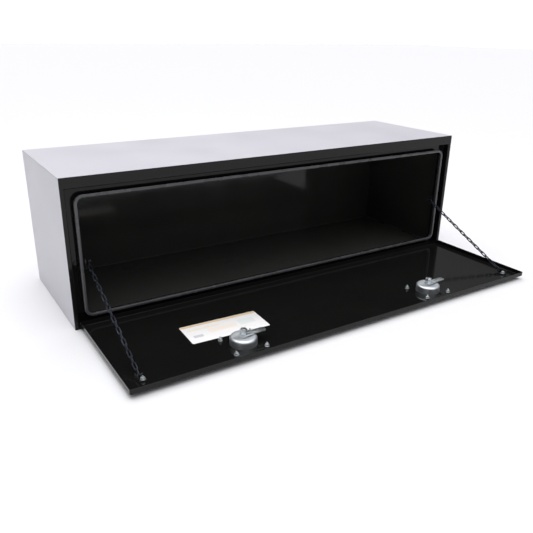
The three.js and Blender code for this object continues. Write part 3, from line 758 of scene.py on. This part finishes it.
# Sticker: thin film with round corners, lying on the door's inner face
def addLabel():
    values = {"half": (125 * mm, 54 * mm), "corner": 5 * mm, "cut": 0.15 * mm, "cutHeight": 0.1 * mm}
    low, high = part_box("door_label")
    middle = (low + high) / 2
    halfX, halfY = values["half"]
    turned = Matrix.Rotation(labelTurn, 2)
    loops = []
    for inset, z in ((0, low.z), (0, high.z - values["cutHeight"]), (values["cut"], high.z)):
        points = roundedRectangle(inset - halfX, halfX - inset, inset - halfY, halfY - inset,
                                  values["corner"])
        flat = [turned @ Vector(point) for point in points]
        loops.append([(middle.x + p.x, middle.y + p.y, z) for p in flat])
    bm = bmesh.new()
    loft(bm, loops, closed=False, capped=True)
    piece = meshPiece("printed_sticker", closeMesh("printed_sticker", bm))
    settle(piece, "door", "label_vinyl", vinyl, "door_label")


# Hinge: short rolled knuckles, alternately on the box's leaf and the door's
def addHinge():
    values = {"knuckles": 58, "gap": 0.5 * mm, "outer": 3.55 * mm, "bore": 1.85 * mm, "edge": 0.3 * mm,
              "sides": 20, "leaf": 1.5 * mm, "leafStart": 2.2 * mm, "leafOffset": 0.3 * mm,
              "leafCorner": 0.35 * mm, "leafCornerSteps": 3, "rodTip": 0.8 * mm, "rodTipShare": 0.5}
    pin = middleOf("hinge_pin")
    low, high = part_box("hinge_fixed_leaf")
    length = high.x - low.x
    station = length / values["knuckles"]
    outer, bore, edge = values["outer"], values["bore"], values["edge"]
    half = (station - values["gap"]) / 2
    bm = bmesh.new()
    turn(bm, [(bore, -half), (outer - edge, -half), (outer, -half + edge), (outer, half - edge),
              (outer - edge, half), (bore, half)], values["sides"], closed=True)
    knuckle = closeMesh("knuckle", bm, sharpAngle=35)
    onSide = (0, math.pi / 2, 0)
    near = values["leafOffset"]
    far = near + values["leaf"]
    away = values["leafStart"]
    leaves = (("hinge_box_leaf", "box", "hinge_fixed_leaf", 0),
              ("hinge_door_leaf", "door", "hinge_moving_leaf", 1))
    for name, body, node, first in leaves:
        start = (low.x + station * (first + 0.5), pin.y, pin.z)
        piece = repeat(name, knuckle, hingeSteel, start, (2 * station, 0, 0), values["knuckles"] // 2,
                       firstTurn=onSide)
        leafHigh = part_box(node)[1]
        if body == "box":
            flat = (pin.y + away, leafHigh.y, pin.z - far, pin.z - near)
        else:
            flat = (pin.y - far, pin.y - near, pin.z + away, leafHigh.z)
        outline = roundedRectangle(*flat, values["leafCorner"], values["leafCornerSteps"])
        bm = bmesh.new()
        loft(bm, [[(x, y, z) for y, z in outline] for x in (low.x, high.x)], closed=False, capped=True)
        strip = meshPiece(name + "_strip", closeMesh(name + "_strip", bm, sharpAngle=40))
        weldTogether(piece, strip)
        piece.data.materials.clear()
        settle(piece, body, "hinge_steel", hingeSteel, node)
    pinLow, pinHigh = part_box("hinge_pin")
    radius, reach = (pinHigh.z - pinLow.z) / 2, (pinHigh.x - pinLow.x) / 2
    tip, tipRadius = values["rodTip"], radius * values["rodTipShare"]
    bm = bmesh.new()
    turn(bm, [(tipRadius, -reach), (radius, -reach + tip), (radius, reach - tip), (tipRadius, reach)],
         values["sides"])
    bmesh.ops.rotate(bm, verts=bm.verts, cent=(0, 0, 0), matrix=Matrix.Rotation(math.pi / 2, 3, "Y"))
    bmesh.ops.translate(bm, verts=bm.verts, vec=pin)
    rod = meshPiece("hinge_rod", closeMesh("hinge_rod", bm, sharpAngle=35))
    settle(rod, "box", "hinge_steel", hingeSteel, "hinge_pin")


addDoor()
addLabel()
addHinge()
print("tool box: door, sticker and hinge made")


# Chains: round-wire links, each linked through the next and turned a quarter from it

def linkMesh(pitch, width, wire):
    steps, around = 28, 12
    radius = (width - wire) / 2
    straight = pitch + 2 * wire - width
    loops = []
    for i in range(steps):
        a = 2 * math.pi * (i + 0.5) / steps
        out = Vector((math.cos(a), math.sin(a), 0))
        centre = out * radius + Vector((math.copysign(straight / 2, out.x), 0, 0))
        loops.append([centre + out * x + Vector((0, 0, y)) for x, y, _ in circle(wire / 2, 0, around)])
    bm = bmesh.new()
    loft(bm, loops)
    return closeMesh("chain_link", bm, sharpAngle=60)


def addChains():
    values = {"upperLinks": 7, "lowerLinks": 14, "wire": 4 * mm, "pin": 2 * mm, "pinSlack": 0.2 * mm}
    pinRoom = values["pin"] + values["pinSlack"]
    for side in ("left", "right"):
        x = middleOf(side + "_chain_upper_run").x
        low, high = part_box(side + "_chain_upper_run")
        width = high.x - low.x
        upper, lower = middleOf(side + "_upper_chain_pin"), middleOf(side + "_lower_chain_pin")
        upper.x = lower.x = x
        reach = (lower - upper).length
        pitch = (reach + 2 * pinRoom) / (values["upperLinks"] + values["lowerLinks"])
        mesh = linkMesh(pitch, width, values["wire"])
        for run, start, end in (("upper", upper, lower), ("lower", lower, upper)):
            along = (end - start).normalized()
            across = Vector((1, 0, 0))
            upright = Matrix((along, across.cross(along), across)).transposed().to_euler()
            flat = Matrix((along, across, along.cross(across))).transposed().to_euler()
            first = start + along * (pitch / 2 - pinRoom)
            piece = repeat(f"{side}_{run}_chain_links", mesh.copy(), chainZinc, first, along * pitch,
                           values[run + "Links"], firstTurn=upright, secondTurn=flat)
            settle(piece, f"{side}_{run}_chain", "chain_steel", chainZinc, f"{side}_chain_{run}_run")


# Fixings: coach bolts with a washer and a chamfered nut; the thread shows past the nut
# Heads and nuts are (share of the nut's radius, height in mm), washers (mm past the nut, height in mm)

fixingValues = {"boltRadius": 3 * mm, "nutRadius": 6.2 * mm, "seat": 0.3 * mm,
                "head": ((0.35, -2.0), (0.8, -1.5), (1, -0.7), (1, -0.3)), "headSides": 24,
                "washer": ((0.9, 0.3), (1.2, 0.5), (1.2, 1.5), (0.9, 1.7)), "washerSides": 32,
                "nut": ((0.88, 1.6), (1, 2.2), (1, 6.0), (0.88, 6.7)), "nutSides": 6,
                "shankIn": 0.6 * mm, "shankOut": 0.2 * mm, "shankSides": 18, "tipShare": 0.8,
                "threadPitch": 1 * mm, "threadRoot": 0.86, "threadStart": 0.4 * mm, "threadEnd": 0.8 * mm}


# A fixing along Z: head, grip and end are the heights of the head's seat, the washer's seat and the tip
def boltMesh(head, grip, end):
    v = fixingValues
    radius, nut, pitch = v["boltRadius"], v["nutRadius"], v["threadPitch"]
    bm = bmesh.new()
    turn(bm, [(nut * share, head + z * mm) for share, z in v["head"]], v["headSides"])
    turn(bm, [(nut + past * mm, grip + z * mm) for past, z in v["washer"]], v["washerSides"])
    turn(bm, [(nut * share, grip + z * mm) for share, z in v["nut"]], v["nutSides"])
    thread = [(radius, head - v["shankIn"]), (radius, grip + v["shankOut"])]
    for i in range(int((end - grip - v["threadEnd"]) / pitch)):
        z = grip + v["threadStart"] + i * pitch
        thread += [(radius * v["threadRoot"], z), (radius, z + pitch / 2)]
    turn(bm, thread + [(radius * v["tipShare"], end)], v["shankSides"])
    return closeMesh("bolt_set", bm, sharpAngle=30)


def addLatchBolts(side):
    nodes = [f"{side}_latch_bolt_{k}" for k in (1, 2, 3, 4)]
    first, alongX, alongY = (middleOf(nodes[k]) for k in (0, 1, 3))
    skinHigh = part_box("door_skin")[1].z
    head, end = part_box(side + "_latch_cup")[0].z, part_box(nodes[0])[1].z
    piece = repeat(side + "_latch_bolt_set", boltMesh(head, skinHigh, end), zinc, (first.x, first.y, 0),
                   (alongX.x - first.x, 0, 0), 2, (0, alongY.y - first.y, 0), 2)
    settle(piece, "door", "zinc_plate", zinc, *nodes)


def addBrackets(side):
    values = {"bracketEdge": 0.6 * mm, "pinEdge": 0.35 * mm, "segments": 3, "plate": 2.5 * mm,
              "headDepth": 2.9 * mm}
    pieces = (("chain_bracket", "box", "bracketEdge"), ("upper_chain_pin", "box", "pinEdge"),
              ("door_bracket", "door", "bracketEdge"), ("lower_chain_pin", "door", "pinEdge"))
    for node, body, edge in pieces:
        piece = refine(f"{side}_{node}_part", f"{side}_{node}", values[edge], values["segments"])
        settle(piece, body, "hinge_steel", hingeSteel, f"{side}_{node}")
    skinLow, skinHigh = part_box("door_skin")
    centre, high = middleOf(side + "_door_bracket_bolt"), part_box(side + "_door_bracket_bolt")[1]
    grip = skinHigh.z + fixingValues["seat"] + values["plate"]
    fixing = repeat(side + "_door_bracket_fixing", boltMesh(skinLow.z, grip, high.z), zinc,
                    (centre.x, centre.y, 0), (0, 0, 0), 1)
    settle(fixing, "door", "zinc_plate", zinc, side + "_door_bracket_bolt")
    low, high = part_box(side + "_bracket_bolt")
    centre, head = (low + high) / 2, low.y + values["headDepth"]
    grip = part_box(side + "_chain_bracket")[1].y
    fixing = repeat(side + "_frame_bracket_fixing", boltMesh(0, grip - head, high.y - head), hingeSteel,
                    (centre.x, head, centre.z), (0, 0, 0), 1, firstTurn=(-math.pi / 2, 0, 0))
    settle(fixing, "box", "hinge_steel", hingeSteel, side + "_bracket_bolt")


# Latch: a drawn cup with a flange, and inside it the folding T handle on its spindle

def addLatch(side):
    values = {"sides": 96, "cup": 38 * mm, "cupCorner": 7 * mm, "cornerSteps": 6, "rimFold": 2.4 * mm,
              "wall": 1.5 * mm, "root": 0.4 * mm, "edge": 0.5 * mm, "flange": 1.8 * mm,
              "flangeCorner": 10 * mm, "shaftHole": 6.3 * mm, "dishRim": 23 * mm, "dishFloor": 21 * mm,
              "dishDepth": 1.2 * mm}
    low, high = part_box(side + "_latch_cup")
    centre = (low + high) / 2
    cup, wall, corner, fold = (values[k] for k in ("cup", "wall", "cupCorner", "rimFold"))
    halfX, halfY = (high.x - low.x) / 2, (high.y - low.y) / 2
    angles = [2 * math.pi * (i + 0.5) / values["sides"] for i in range(values["sides"])]

    # The flange's outline, met by the same rays as the circles
    def flange(inset, z):
        points = []
        r = values["flangeCorner"]
        hx, hy = halfX - inset, halfY - inset
        cx, cy = hx - r, hy - r
        for a in angles:
            dx, dy = abs(math.cos(a)), abs(math.sin(a))
            reach = min(hx / dx, hy / dy)
            if dx * reach > cx and dy * reach > cy:
                along = dx * cx + dy * cy
                reach = along + math.sqrt(along * along - cx * cx - cy * cy + r * r)
            points.append((centre.x + reach * math.cos(a), centre.y + reach * math.sin(a), z))
        return points

    def arc(cr, cz, radius, start, stop):
        steps = values["cornerSteps"]
        turns = [math.radians(start + (stop - start) * i / steps) for i in range(steps + 1)]
        return [(cr + radius * math.cos(a), cz + radius * math.sin(a)) for a in turns]

    bottom, top = low.z, high.z
    flangeTop = bottom + values["flange"]
    edge = values["edge"]
    loops = [flange(edge, bottom), flange(0, bottom + edge), flange(0, flangeTop - edge),
             flange(edge, flangeTop)]
    outside = cup + wall
    profile = [(outside + values["root"], flangeTop), (outside, flangeTop + values["root"])]
    profile += arc(outside - corner, top - corner, corner, 0, 90)
    rim, dish, hole = values["dishRim"], values["dishFloor"], values["shaftHole"]
    sunk = top - values["dishDepth"]
    profile += [(rim, top), (dish, sunk), (hole, sunk)]
    profile += [(hole, sunk - wall), (dish, sunk - wall), (rim, top - wall)]
    profile += arc(cup - (corner - wall), top - corner, corner - wall, 90, 0)
    profile += arc(cup + fold, bottom + fold, fold, 180, 270)
    for radius, z in profile:
        loops.append([(centre.x + radius * math.cos(a), centre.y + radius * math.sin(a), z) for a in angles])
    bm = bmesh.new()
    loft(bm, loops)
    piece = meshPiece(side + "_latch_dish", closeMesh(side + "_latch_dish", bm, sharpAngle=35))
    addWeightedNormals(piece)
    settle(piece, "door", "latch_steel", stainless, side + "_latch_cup")

    # Each with its body, slot, finish, broken edge in millimetres and the bevel's segments
    pieces = (("latch_gasket", "door", "seal_rubber", rubber, 0.25, 2),
              ("latch_spindle", "spindle", "latch_casting", chrome, 0.5, 3),
              ("latch_bushing", "door", "zinc_plate", zinc, 0.3, 2),
              ("latch_cam", "spindle", "zinc_plate", zinc, 0.7, 3),
              ("cam_nut", "spindle", "zinc_plate", zinc, 0.7, 3),
              ("latch_handle", "handle", "latch_casting", chrome, 1.4, 4),
              ("handle_pin", "spindle", "zinc_plate", zinc, 0.4, 2),
              ("lock_cylinder", "lock", "latch_casting", chrome, 0.4, 3))
    for node, body, slot, finish, edgeWidth, segments in pieces:
        name = f"{side}_{node}"
        part = refine(name + "_piece", name, edgeWidth * mm, segments)
        settle(part, body if body == "door" else f"{side}_{body}", slot, finish, name)


addChains()
for side in ("left", "right"):
    addLatchBolts(side)
    addBrackets(side)
    addLatch(side)
print("tool box: chains, brackets and latches made")
